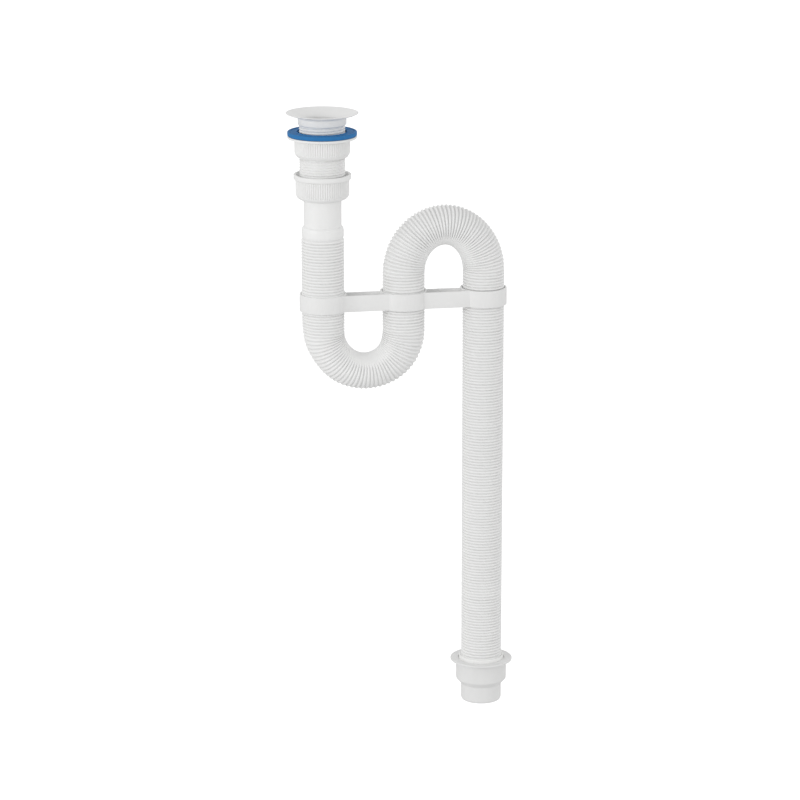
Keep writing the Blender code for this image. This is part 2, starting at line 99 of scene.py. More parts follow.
class Slot(Enum):
    """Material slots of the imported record."""

    WASTE = "waste_plastic"
    NUT = "nut_plastic"
    HOSE = "hose_plastic"
    BRACKET = "bracket_plastic"
    OUTLET = "outlet_plastic"
    PALE_SEAL = "pale_seal"
    BLUE_RUBBER = "blue_rubber"
    SEAL_RUBBER = "seal_rubber"


@dataclass(frozen=True)
class MouldedFinish:
    """A moulded surface: cloudy colour, uneven sheen and a fine skin from the mould, with painted shade that
    can darken the colour in fold valleys.
    """

    name: str
    colour: tuple[float, float, float]
    shade: tuple[float, float, float]
    roughness: tuple[float, float]
    cloud_size: float = 0.012
    skin_size: float = 0.0006
    skin_height: float = 0.000012
    specular: float = 0.4
    # Strength of the painted shade in the fold valleys marked by the mesh's mask.
    painted_hollow_shade: float = 0.0

    def material(self) -> bpy.types.Material:
        """Build the node material.

        Returns:
            A material whose colour, roughness and bump come from noise in object space, its colour darkened
            by painted shade where the mesh's mask marks fold valleys.
        """
        material = bpy.data.materials.new(self.name)
        material.use_nodes = True
        nodes = material.node_tree.nodes
        link = material.node_tree.links.new
        shader = nodes["Principled BSDF"]
        shader.inputs["Specular IOR Level"].default_value = self.specular
        place = nodes.new("ShaderNodeTexCoord")
        clouds = nodes.new("ShaderNodeTexNoise")
        clouds.inputs["Scale"].default_value = 1.0 / self.cloud_size
        clouds.inputs["Detail"].default_value = 3.0
        link(place.outputs["Object"], clouds.inputs["Vector"])
        tint = nodes.new("ShaderNodeMix")
        tint.data_type = "RGBA"
        tint.inputs["A"].default_value = (*self.colour, 1.0)
        tint.inputs["B"].default_value = (*self.shade, 1.0)
        link(clouds.outputs["Fac"], tint.inputs["Factor"])
        # Painted shade: the colour is mixed towards a darker tone where the mesh's mask marks the fold
        # valleys.
        painted_shade_mask = nodes.new("ShaderNodeAttribute")
        painted_shade_mask.attribute_name = PAINTED_SHADE_ATTRIBUTE
        painted_shade_mix = nodes.new("ShaderNodeMix")
        painted_shade_mix.data_type = "RGBA"
        painted_shade_mix.inputs["B"].default_value = (*(part * (1.0 - self.painted_hollow_shade) for part in self.shade), 1.0)
        link(painted_shade_mask.outputs["Fac"], painted_shade_mix.inputs["Factor"])
        link(tint.outputs["Result"], painted_shade_mix.inputs["A"])
        link(painted_shade_mix.outputs["Result"], shader.inputs["Base Color"])
        sheen = nodes.new("ShaderNodeMapRange")
        sheen.inputs["To Min"].default_value = self.roughness[0]
        sheen.inputs["To Max"].default_value = self.roughness[1]
        link(clouds.outputs["Fac"], sheen.inputs["Value"])
        link(sheen.outputs["Result"], shader.inputs["Roughness"])
        grain = nodes.new("ShaderNodeTexNoise")
        grain.inputs["Scale"].default_value = 1.0 / self.skin_size
        grain.inputs["Detail"].default_value = 2.0
        link(place.outputs["Object"], grain.inputs["Vector"])
        skin = nodes.new("ShaderNodeBump")
        skin.inputs["Distance"].default_value = self.skin_height
        link(grain.outputs["Fac"], skin.inputs["Height"])
        link(skin.outputs["Normal"], shader.inputs["Normal"])
        return material


@dataclass(frozen=True)
class NodePlace:
    """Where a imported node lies: its own axis, its largest radius across X or Y, and its heights."""

    axis_x: float
    radius: float
    top: float
    bottom: float

    @classmethod
    def of(cls, node: str) -> NodePlace:
        """Read a node's box from the frame.

        Args:
            node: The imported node's name.

        Returns:
            The place of a turned node with an upright axis.
        """
        low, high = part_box(node)
        return cls((low.x + high.x) / 2, (high.x - low.x) / 2, high.z, low.z)


def softened(corners: Profile, steps: int = 4) -> np.ndarray:
    """Round each corner of a closed profile.

    Args:
        corners: (radius, height, fillet) corners in order round the section.
        steps: Points on each rounded corner.

    Returns:
        The rounded outline as rows of (radius, height).
    """
    places = np.array([corner[:2] for corner in corners])
    rows: list[np.ndarray] = []
    for index, (_, _, fillet) in enumerate(corners):
        here = places[index]
        back = places[index - 1] - here
        ahead = places[(index + 1) % len(places)] - here
        reach = min(fillet, FILLET_SHARE * float(np.hypot(*back)), FILLET_SHARE * float(np.hypot(*ahead)))
        if reach <= 0.0:
            rows.append(here)
            continue
        start = here + back / np.hypot(*back) * reach
        end = here + ahead / np.hypot(*ahead) * reach
        for share in np.linspace(0.0, 1.0, steps):
            rows.append((1 - share) ** 2 * start + 2 * share * (1 - share) * here + share**2 * end)
    return np.array(rows)


def filled_in(outline: np.ndarray, longest: float, low: float, high: float) -> np.ndarray:
    """Add points to the edges of an outline that lie between two heights.

    Args:
        outline: Closed (radius, height) rows.
        longest: Longest edge to leave there.
        low: Lower height.
        high: Upper height.

    Returns:
        The outline with its long edges divided.
    """
    rows: list[np.ndarray] = []
    for index, start in enumerate(outline):
        end = outline[(index + 1) % len(outline)]
        inside = min(start[1], end[1]) >= low and max(start[1], end[1]) <= high
        parts = max(1, math.ceil(float(np.hypot(*(end - start))) / longest)) if inside else 1
        rows.extend(start + (end - start) * part / parts for part in range(parts))
    return np.array(rows)


def skinned(name: str, rings: np.ndarray, crease: float = 40.0) -> bpy.types.Object:
    """Join rings of points into one closed, ring-shaped skin.

    Args:
        name: Name of the piece.
        rings: Points as (ring, side, xyz), the last ring beside the first.
        crease: Angle in degrees over which an edge is left sharp.

    Returns:
        The mesh object, linked to the scene.
    """
    count, sides, _ = rings.shape
    ring_index, side_index = np.meshgrid(np.arange(count), np.arange(sides), indexing="ij")
    next_ring, next_side = (ring_index + 1) % count, (side_index + 1) % sides
    corners = (
        ring_index * sides + side_index,
        ring_index * sides + next_side,
        next_ring * sides + next_side,
        next_ring * sides + side_index,
    )
    faces = np.stack(corners, axis=-1).reshape(-1, 4)
    mesh = bpy.data.meshes.new(name)
    mesh.from_pydata(rings.reshape(-1, 3).tolist(), [], faces.tolist())
    if signed_volume(rings.reshape(-1, 3), faces) < 0.0:
        mesh.flip_normals()
    mesh.shade_smooth()
    mesh.set_sharp_from_angle(angle=math.radians(crease))
    piece = bpy.data.objects.new(name, mesh)
    bpy.context.scene.collection.objects.link(piece)
    return piece


def signed_volume(points: np.ndarray, faces: np.ndarray) -> float:
    """Volume inside a closed skin of four-cornered faces, negative if it is inside out.

    Args:
        points: Corner places.
        faces: Corner numbers of each face.

    Returns:
        The volume in cubic metres.
    """
    a, b, c, d = (points[faces[:, corner]] for corner in range(4))
    halves = np.einsum("ij,ij->i", a, np.cross(b, c)) + np.einsum("ij,ij->i", a, np.cross(c, d))
    return float(halves.sum()) / 6.0


def turned(
    name: str,
    outline: np.ndarray,
    sides: int,
    axis_x: float = 0.0,
    change: RadiusChange | None = None,
    crease: float = 40.0,
) -> bpy.types.Object:
    """Turn a closed outline about an upright axis.

    Args:
        name: Name of the piece.
        outline: (radius, height) rows.
        sides: Columns round the axis.
        axis_x: Where the axis crosses the X axis.
        change: Optional change of radius from (angle, radius, height) grids.
        crease: Angle in degrees over which an edge is left sharp.

    Returns:
        The turned piece.
    """
    angle = np.linspace(0.0, TURN, sides, endpoint=False)[None, :]
    radius = np.repeat(outline[:, :1], sides, axis=1)
    height = np.repeat(outline[:, 1:], sides, axis=1)
    if change is not None:
        radius = radius + change(angle, radius, height)
    rings = np.stack((axis_x + radius * np.cos(angle), radius * np.sin(angle), height), axis=-1)
    return skinned(name, rings, crease)


def window(height: np.ndarray, low: float, high: float, fade: float) -> np.ndarray:
    """Share that is one between two heights and fades to nothing outside them.

    Args:
        height: Heights to look at.
        low: Lower end.
        high: Upper end.
        fade: Length of each fade.

    Returns:
        Shares from zero to one.
    """
    rise = np.clip((height - low) / fade, 0.0, 1.0)
    fall = np.clip((high - height) / fade, 0.0, 1.0)
    share = np.minimum(rise, fall)
    return share * share * (3.0 - 2.0 * share)


def dressed(
    piece: bpy.types.Object, material: bpy.types.Material, slot: Slot, body: Body | None, *nodes: str
) -> bpy.types.Object:
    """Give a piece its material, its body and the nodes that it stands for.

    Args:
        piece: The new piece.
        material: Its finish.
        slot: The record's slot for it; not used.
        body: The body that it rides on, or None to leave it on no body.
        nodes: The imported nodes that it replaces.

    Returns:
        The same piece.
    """
    piece.data.materials.append(material)
    if nodes:
        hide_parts(*nodes)
    if body is not None:
        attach(piece, body.value)
    LOG.info("%s: %d faces", piece.name, len(piece.data.polygons))
    return piece


@dataclass
class Thread:
    """A moulded right-hand thread, cut into a round wall."""

    pitch: float = 0.0025
    depth: float = 0.0009
    crest_share: float = 0.45
    root_share: float = 0.12
    runout: float = 0.0012

    def groove(self, wall: float, low: float, high: float) -> RadiusChange:
        """Make the change of radius that cuts the thread.

        Args:
            wall: Radius of the crests.
            low: Lower end of the thread.
            high: Upper end of the thread.

        Returns:
            A function for turned().
        """

        def cut(angle: np.ndarray, radius: np.ndarray, height: np.ndarray) -> np.ndarray:
            """Depth of the groove at each point, as a change of radius."""
            phase = np.mod(height / self.pitch - angle / TURN, 1.0)
            flank = (1.0 - self.crest_share) / 2.0
            to_middle = np.abs(phase - 0.5)
            share = np.clip((flank + self.root_share - to_middle) / flank, 0.0, 1.0)
            share = share * share * (3.0 - 2.0 * share)
            on_wall = np.abs(radius - wall) < self.depth / 4
            return -self.depth * share * window(height, low, high, self.runout) * on_wall

        return cut


@dataclass
class Waste:
    """Dished flange with its strainer cross, collar and threaded tail."""

    flange_radius: float = 0.0350
    rim: float = 0.0016
    rim_edge: float = 0.0005
    under_rim: tuple[float, float] = (0.0014, 0.0012)
    seat_round: float = 0.0014
    seat_width: float = 0.0032
    cone_depth: float = 0.0027
    collar_radius: float = 0.02325
    collar_height: float = 0.0067
    thread_radius: float = 0.0220
    neck: float = 0.0006
    tail_chamfer: float = 0.0008
    bore_radius: float = 0.0176
    cuff_bore_radius: float = 0.01855
    cuff_top: float = -0.0497
    dish_depth: float = 0.0050
    foot_round: float = 0.0022
    spokes: int = 6
    spoke_width: float = 0.0022
    spoke_height: float = 0.0030
    spoke_turn: float = math.radians(15.0)
    hub_radius: float = 0.0040
    cross_edge: float = 0.0003
    cross_drop: float = 0.0048
    thread: Thread = field(default_factory=Thread)
    sides: int = 144
    row: float = 0.00028

    def outline(self) -> np.ndarray:
        """Section of the moulding, from the rim's top round the tail and back up the bore."""
        place = NodePlace.of("waste_flange")
        edge = self.rim / 2
        seat = self.flange_radius - edge
        collar_low = -self.cone_depth - self.collar_height
        foot = self.rim - self.dish_depth
        corners: Profile = [
            (self.flange_radius - 0.0006, self.rim, 0.0003),
            (self.flange_radius, self.rim - self.rim_edge, 0.0003),
            (self.flange_radius - self.under_rim[0], self.rim - self.under_rim[1], 0.0006),
            (seat - 0.0016, 0.0, self.seat_round),
            (seat - self.seat_width, 0.0, 0.0010),
            (self.collar_radius + 0.0008, -self.cone_depth + 0.0004, 0.0012),
            (self.collar_radius, -self.cone_depth - 0.0008, 0.0006),
            (self.collar_radius, collar_low, 0.0004),
            (self.thread_radius, collar_low - self.neck, 0.0004),
            (self.thread_radius, place.bottom + self.tail_chamfer, 0.0003),
            (self.thread_radius - self.tail_chamfer, place.bottom, 0.0003),
            (self.cuff_bore_radius, place.bottom, 0.0003),
            (self.cuff_bore_radius, self.cuff_top, 0.0),
            (self.bore_radius, self.cuff_top, 0.0002),
            (self.bore_radius, foot - self.foot_round, 0.0012),
            (self.bore_radius + self.foot_round, foot, 0.0016),
            (seat - edge, self.rim - 0.0001, 0.0008),
        ]
        rounded = softened(corners, 5)
        return filled_in(rounded, self.row, place.bottom, collar_low)

    def build(self, finish: bpy.types.Material) -> None:
        """Make the flange with its tail, and the cross in its bore."""
        place = NodePlace.of("waste_flange")
        thread_top = -self.cone_depth - self.collar_height - self.neck
        cut = self.thread.groove(self.thread_radius, place.bottom + self.thread.runout, thread_top)
        flange = turned("waste_moulding", self.outline(), self.sides, change=cut, crease=50.0)
        dressed(flange, finish, Slot.WASTE, Body.TRAP, "waste_flange")
        dressed(self.cross(), finish, Slot.WASTE, Body.TRAP)

    def cross(self) -> bpy.types.Object:
        """Spokes round a hub with softened edges.

        Returns:
            The strainer cross, with the ends of its spokes in the wall of the bore.
        """
        top = self.rim - self.dish_depth - self.cross_drop
        half = self.spoke_width / 2
        reach = self.bore_radius + half / 2
        root = math.asin(half / self.hub_radius)
        outline: list[tuple[float, float]] = []
        for spoke in range(self.spokes):
            middle = TURN * spoke / self.spokes + self.spoke_turn
            along = np.array((math.cos(middle), math.sin(middle)))
            across = np.array((-along[1], along[0]))
            outline += [tuple(along * reach - across * half), tuple(along * reach + across * half)]
            gap_start, gap_end = middle + root, middle + TURN / self.spokes - root
            for angle in np.linspace(gap_start, gap_end, 5):
                outline.append((self.hub_radius * math.cos(angle), self.hub_radius * math.sin(angle)))
        count = len(outline)
        points = [(x, y, z) for z in (top - self.spoke_height, top) for x, y in outline]
        faces: list[list[int]] = [list(range(count))[::-1], list(range(count, 2 * count))]
        faces += [[n, (n + 1) % count, count + (n + 1) % count, count + n] for n in range(count)]
        mesh = bpy.data.meshes.new("strainer_cross")
        mesh.from_pydata(points, [], faces)
        piece = bpy.data.objects.new("strainer_cross", mesh)
        bpy.context.scene.collection.objects.link(piece)
        soften = piece.modifiers.new("edges", "BEVEL")
        soften.width = self.cross_edge
        soften.segments = 2
        soften.limit_method = "ANGLE"
        return piece


@dataclass
class SinkGasket:
    """Flat blue ring with worn, rounded edges and a shallow moulded groove in its top."""

    edge: float = 0.0010
    bore_clearance: float = 0.0004
    lip_width: float = 0.0012
    channel_depth: float = 0.0006
    slope: float = 0.0007
    sides: int = 128

    def build(self, finish: bpy.types.Material, collar_radius: float) -> None:
        """Make the ring round the waste's collar."""
        place = NodePlace.of("sink_gasket")
        bore = collar_radius + self.bore_clearance
        outer_lip = place.radius - self.edge - self.lip_width
        inner_lip = bore + self.lip_width
        floor = place.top - self.channel_depth
        corners: Profile = [
            (place.radius, place.top, self.edge),
            (place.radius, place.bottom, self.edge),
            (bore, place.bottom, self.edge / 3),
            (bore, place.top, self.edge / 3),
            (inner_lip, place.top, 0.0003),
            (inner_lip + self.slope, floor, 0.0004),
            (outer_lip - self.slope, floor, 0.0004),
            (outer_lip, place.top, 0.0003),
        ]
        ring = turned("sink_gasket_ring", softened(corners, 6), self.sides)
        dressed(ring, finish, Slot.BLUE_RUBBER, Body.GASKET, "sink_gasket")


@dataclass
class Ribs:
    """Fine upright ribs round a nut."""

    count: int = 72
    depth: float = 0.00070
    fade: float = 0.0008
    columns: int = 8

    def cut(self, wall: float, low: float, high: float, slack: float = 0.0002) -> RadiusChange:
        """Make the change of radius that leaves the ribs standing.

        Args:
            wall: Radius over the ribs, at their middle height.
            low: Lower end of the ribs.
            high: Upper end of the ribs.
            slack: How far from the wall a point may lie and still be cut.

        Returns:
            A function for turned().
        """

        def groove(angle: np.ndarray, radius: np.ndarray, height: np.ndarray) -> np.ndarray:
            """Depth between the ribs at each point, as a change of radius."""
            share = (0.5 - 0.5 * np.cos(self.count * angle)) ** 1.5
            outside = radius > wall - slack
            return -self.depth * share * window(height, low, high, self.fade) * outside

        return groove


@dataclass
class FlangeNut:
    """Clamping nut under the gasket."""

    bore: float = 0.0223
    flange: float = 0.0024
    body_radius: float = 0.02665
    chamfer: float = 0.0037
    foot_radius: float = 0.02425
    entry: float = 0.0010
    ribs: Ribs = field(default_factory=Ribs)

    def build(self, finish: bpy.types.Material) -> None:
        """Make the nut with its thin flange, ribbed wall and chamfered foot."""
        place = NodePlace.of("flange_nut")
        flange_low = place.top - self.flange
        chamfer_top = place.bottom + self.chamfer
        corners: Profile = [
            (place.radius, place.top, 0.0006),
            (place.radius, flange_low, 0.0009),
            (self.body_radius, flange_low, 0.0005),
            (self.body_radius, chamfer_top, 0.0012),
            (self.foot_radius, place.bottom, 0.0006),
            (self.bore + self.entry, place.bottom, 0.0002),
            (self.bore, place.bottom + self.entry, 0.0004),
            (self.bore, place.top - self.entry, 0.0004),
            (self.bore + self.entry, place.top, 0.0002),
        ]
        outline = filled_in(softened(corners, 5), 0.0009, place.bottom + 0.0005, flange_low + 0.0001)
        cut = self.ribs.cut(self.body_radius, chamfer_top - 0.0006, flange_low + 0.0004, 0.0006)
        nut = turned("flange_nut_ribbed", outline, self.ribs.count * self.ribs.columns, change=cut)
        dressed(nut, finish, Slot.NUT, Body.CLAMP, "flange_nut")


@dataclass
class CouplingNut:
    """Nut at the foot of the tail, with a plain lip and a rounded shoulder."""

    bore: float = 0.0223
    cuff_hole: float = 0.01847
    body_radius: float = 0.0258
    lip_height: float = 0.0046
    lip_wall: float = 0.00275
    foot_width: float = 0.00105
    floor: float = 0.0028
    ribs: Ribs = field(default_factory=lambda: Ribs(depth=0.0008))

    def build(self, finish: bpy.types.Material) -> None:
        """Make the nut, with ribs that run out on the shoulder."""
        place = NodePlace.of("coupling_nut")
        lip_low = place.top - self.lip_height
        round_radius = self.body_radius - self.cuff_hole - self.foot_width
        round_z = place.bottom + round_radius
        arc = [
            (
                self.body_radius - round_radius + round_radius * math.cos(angle),
                round_z - round_radius * math.sin(angle),
                0.0,
            )
            for angle in np.linspace(0.08, math.pi / 2, 12)
        ]
        corners: Profile = [
            (place.radius, place.top, 0.0005),
            (place.radius, lip_low, 0.0009),
            (self.body_radius, lip_low - 0.0004, 0.0004),
            (self.body_radius, round_z, 0.0004),
            *arc,
            (self.cuff_hole, place.bottom, 0.0003),
            (self.cuff_hole, place.bottom + self.floor, 0.0),
            (self.bore, place.bottom + self.floor, 0.0),
            (self.bore, lip_low, 0.0008),
            (place.radius - self.lip_wall, place.top - 0.0008, 0.0005),
            (place.radius - self.lip_wall + 0.0006, place.top, 0.0003),
        ]
        outline = filled_in(softened(corners, 5), 0.0009, place.bottom + 0.0005, lip_low + 0.0001)
        cut = self.ribs.cut(self.body_radius, round_z - 0.0030, lip_low - 0.0002, 0.0016)
        nut = turned("coupling_nut_ribbed", outline, self.ribs.count * self.ribs.columns, change=cut)
        dressed(nut, finish, Slot.NUT, Body.COUPLING, "coupling_nut")


@dataclass
class HosePath:
    """Centre line of the hose, as the moulded limbs and bends lie in the bracket."""

    top: float = -0.0500
    pitch: float = 0.0788
    lower_bend: float = -0.2137
    lower_drop: float = 0.0395
    lower_lean: float = 0.0021
    crown: float = -0.1575
    crown_rise: float = 0.0460
    end: float = -0.5717
    samples: int = 600
    start_fold: float = 0.00294
    middle_fold: float = 0.00300
    low_fold: float = 0.00330
    high_fold: float = 0.00264
    end_fold: float = 0.00286
    outlet_from: float = 1.9
    riser_from: float = 0.9

    def __post_init__(self) -> None:
        """Lay out the centre line once."""
        turn = np.linspace(0.0, math.pi, self.samples)
        half = self.pitch / 2
        bend = np.sin(turn) ** 2
        low_x = half - half * np.cos(turn) + self.lower_lean * (1.0 - np.cos(turn) ** 4)
        low = np.column_stack((low_x, self.lower_bend - self.lower_drop * np.sin(turn), -bend))
        high = np.column_stack(
            (3 * half - half * np.cos(turn), self.crown + self.crown_rise * np.sin(turn), bend)
        )
        rows = np.vstack(([[0.0, self.top, 0.0]], low, high, [[2 * self.pitch, self.end, 0.0]]))
        self.x, self.z, self.bend = rows.T
        steps = np.hypot(np.diff(self.x), np.diff(self.z))
        self.along = np.concatenate(([0.0], np.cumsum(steps)))
        self.length = float(self.along[-1])

    def at(self, distance: np.ndarray) -> tuple[np.ndarray, np.ndarray, np.ndarray]:
        """Read the centre line.

        Args:
            distance: Distances along it.

        Returns:
            The x, the z and how far into a bend each one lies, negative in the lower bend.
        """
        x = np.interp(distance, self.along, self.x)
        z = np.interp(distance, self.along, self.z)
        bend = np.interp(distance, self.along, self.bend)
        return x, z, bend

    def fold_counts(self, start: float, steps: int = 6000) -> tuple[np.ndarray, np.ndarray]:
        """Count the folds along the hose, drawn out in the lower bend and close in the crown.

        Args:
            start: Distance at which the folds start.
            steps: Steps of the count.

        Returns:
            Distances, and the folds counted up to each.
        """
        distance = np.linspace(start, self.length, steps)
        x, _, bend = self.at(distance)
        share = np.clip((distance - start) / (self.length - start), 0.0, 1.0)
        straight = np.where(
            x > self.outlet_from * self.pitch,
            self.middle_fold + (self.end_fold - self.middle_fold) * share,
            np.where(x > self.riser_from * self.pitch, self.middle_fold, self.start_fold),
        )
        bent = np.where(bend < 0.0, self.low_fold, self.high_fold)
        size = straight + (bent - straight) * np.abs(bend) ** 0.5
        counted = np.concatenate(([0.0], np.cumsum(np.diff(distance) * 2.0 / (size[1:] + size[:-1]))))
        return distance, counted

    def sides(self, distance: np.ndarray, probe: float = 0.0004) -> np.ndarray:
        """Unit vectors across the hose in its own plane, as (x, z) rows.

        Args:
            distance: Distances along the centre line.
            probe: Half the length over which the direction is taken.

        Returns:
            One vector for each distance, to the right of the hose's run.
        """
        ahead = np.minimum(distance + probe, self.length)
        behind = np.maximum(distance - probe, 0.0)
        run_x = np.interp(ahead, self.along, self.x) - np.interp(behind, self.along, self.x)
        run_z = np.interp(ahead, self.along, self.z) - np.interp(behind, self.along, self.z)
        span = np.hypot(run_x, run_z)
        return np.column_stack((run_z / span, -run_x / span))


@dataclass
class TrapHose:
    """Folded hose: cuff, step, band and folds that open on the outside of each bend."""

    path: HosePath = field(default_factory=HosePath)
    cuff_radius: float = 0.01815
    cuff_end: float = 0.0585
    step: float = 0.0035
    band_radius: float = 0.02025
    band: float = 0.0083
    inlet_radius: float = 0.0207
    bore_rows: int = 60
    outlet_radius: float = 0.0200
    fold_depth: float = 0.00140
    crown_depth: float = 0.0021
    low_depth: float = 0.00145
    valley_sharpness: float = 2.2
    opening_start: float = -0.5
    smooth_side: tuple[float, float] = (-0.72, -0.30)
    wall: float = 0.0008
    lower_flattening: float = 0.145
    crown_flattening: float = 0.045
    widening: float = 0.030
    dent: float = 0.12
    dent_place: float = 0.181
    dent_length: float = 0.018
    fold_spread: float = 0.05
    stretch_start: float = 0.080
    stretch_end: float = 0.004
    rows_per_fold: int = 8
    columns: int = 72
    seed: int = 7

    def folds_start(self) -> float:
        """Distance along the hose where the band ends and the folds start."""
        return self.cuff_end + self.step + self.band

    def neck_rows(self) -> tuple[np.ndarray, np.ndarray]:
        """Stations and radii of the cuff, the rounded step and the plain band.

        Returns:
            Distances along the hose, and radii.
        """
        rise = self.band_radius - self.cuff_radius
        turn = np.linspace(0.0, math.pi / 2, 7)
        shoulder = self.cuff_end + self.step * (1.0 - np.cos(turn))
        shoulder_radius = self.cuff_radius + rise * np.sin(turn)
        cuff = np.linspace(0.0, self.cuff_end, 12)[:-1]
        band = np.linspace(self.cuff_end + self.step, self.folds_start(), 5)[1:-1]
        distance = np.concatenate((cuff, shoulder, band))
        radius = np.concatenate(
            (np.full(cuff.shape, self.cuff_radius), shoulder_radius, np.full(band.shape, self.band_radius))
        )
        return distance, radius

    def section_radius(self, distance: np.ndarray) -> np.ndarray:
        """Radius over the crests, which narrows slightly towards the outlet."""
        share = (distance - self.folds_start()) / (self.path.length - self.folds_start())
        return self.inlet_radius + np.clip(share, 0.0, 1.0) * (self.outlet_radius - self.inlet_radius)

    def rings(self, distance: np.ndarray, radius: np.ndarray) -> np.ndarray:
        """Place oval rings along the hose.

        Args:
            distance: Distance of each ring along the hose.
            radius: Radii as (ring, column).

        Returns:
            Points as (ring, column, xyz).
        """
        angle = np.linspace(0.0, TURN, self.columns, endpoint=False)[None, :]
        x, z, bend = self.path.at(distance)
        side = self.path.sides(distance)
        flat = self.lower_flattening * np.clip(-bend, 0.0, 1.0)
        flat = flat + self.crown_flattening * np.clip(bend, 0.0, 1.0)
        dent = self.dent * np.exp(-(((distance - self.dent_place) / self.dent_length) ** 2))
        flat = flat[:, None] + dent[:, None] * np.clip(np.cos(angle), 0.0, 1.0)
        across = radius * (1.0 - flat) * np.cos(angle)
        deep = radius * (1.0 + self.widening * np.abs(bend))[:, None] * np.sin(angle)
        return np.stack(
            (x[:, None] + side[:, :1] * across, deep, z[:, None] + side[:, 1:] * across), axis=-1
        )

    def folds(self, first: int, last: int) -> tuple[np.ndarray, np.ndarray]:
        """Stations and radii of some of the folds.

        Args:
            first: Number of the first fold, counted from the band.
            last: Number of the fold that the stretch stops before.

        Returns:
            Distances, and radii as (ring, column).
        """
        along, counted = self.path.fold_counts(self.folds_start())
        counted = counted * (round(counted[-1]) / counted[-1])
        phase = first + np.arange((last - first) * self.rows_per_fold + 1) / self.rows_per_fold
        distance = np.interp(phase, counted, along)
        angle = np.linspace(0.0, TURN, self.columns, endpoint=False)[None, :]
        bend = self.path.at(distance)[2]
        bent = np.abs(bend)[:, None] ** 0.5
        outward = -np.cos(angle) * np.sign(bend)[:, None]
        low, high = self.smooth_side
        shut = np.clip((outward - low) / (high - low), 0.0, 1.0)
        shut = 1.0 - bent * (1.0 - shut * shut * (3.0 - 2.0 * shut))
        start = self.opening_start
        opened = bent * np.clip((outward - start) / (1.0 - start), 0.0, 1.0)
        uneven = np.random.default_rng(self.seed).normal(1.0, self.fold_spread, last + 1)
        widest = np.where(bend < 0.0, self.low_depth, self.crown_depth)[:, None]
        depth = self.fold_depth + (widest - self.fold_depth) * opened
        depth = depth * shut * uneven[np.floor(phase).astype(int)][:, None]
        to_valley = np.abs(np.mod(phase + 0.5, 1.0) - 0.5)[:, None] * 2.0
        rounded = (0.5 + 0.5 * np.cos(math.pi * to_valley)) ** self.valley_sharpness
        share = rounded + (1.0 - to_valley - rounded) * opened
        radius = self.section_radius(distance)[:, None] - depth * share
        return distance, radius

    def lined(self, name: str, distance: np.ndarray, radius: np.ndarray) -> bpy.types.Object:
        """Close a stretch of hose with a bore inside it, and store the mask of painted shade in its fold
        valleys.

        Args:
            name: Name of the piece.
            distance: Stations of the outside.
            radius: Radii of the outside as (ring, column).

        Returns:
            The stretch as one closed skin.
        """
        outside = self.rings(distance, radius)
        stations = np.linspace(distance[-1], distance[0], self.bore_rows)
        bore = self.section_radius(stations) - self.crown_depth - self.wall
        bore = np.where(stations < self.cuff_end + self.step, self.cuff_radius - self.wall, bore)
        inside = self.rings(stations, np.repeat(bore[:, None], self.columns, axis=1))
        piece = skinned(name, np.concatenate((outside, inside)), 60.0)
        # Painted shade: a mask that darkens the hose's colour in the fold valleys, as deep as each valley is
        # drawn in.
        drawn_in = (self.section_radius(distance)[:, None] - radius) / self.crown_depth
        drawn_in = np.clip(drawn_in, 0.0, 1.0) * (distance >= self.folds_start())[:, None]
        painted_shade_mask = np.concatenate((drawn_in.ravel(), np.zeros(stations.size * self.columns)))
        piece.data.attributes.new(PAINTED_SHADE_ATTRIBUTE, "FLOAT", "POINT").data.foreach_set("value", painted_shade_mask)
        return piece

    def build(self, finish: bpy.types.Material) -> None:
        """Make the stretch up to the outlet limb's ring, and the outlet limb, which is left on no body."""
        bracket_low, bracket_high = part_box("hose_bracket")
        hidden = (bracket_low.z + bracket_high.z) / 2
        outlet_turn = float(np.interp(-hidden, -self.path.z[-2:], self.path.along[-2:]))
        along, counted = self.path.fold_counts(self.folds_start())
        total = round(float(counted[-1]))
        meeting = round(float(np.interp(outlet_turn, along, counted)))
        neck, neck_radius = self.neck_rows()
        distance, radius = self.folds(0, meeting)
        neck_grid = np.repeat(neck_radius[:, None], self.columns, axis=1)
        bends = self.lined(
            "hose_bends", np.concatenate((neck, distance)), np.concatenate((neck_grid, radius))
        )
        dressed(bends, finish, Slot.HOSE, Body.TRAP, "trap_hose")
        limb = self.lined("hose_outlet_limb", *self.folds(meeting, total))
        dressed(limb, finish, Slot.HOSE, None)
        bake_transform(limb)


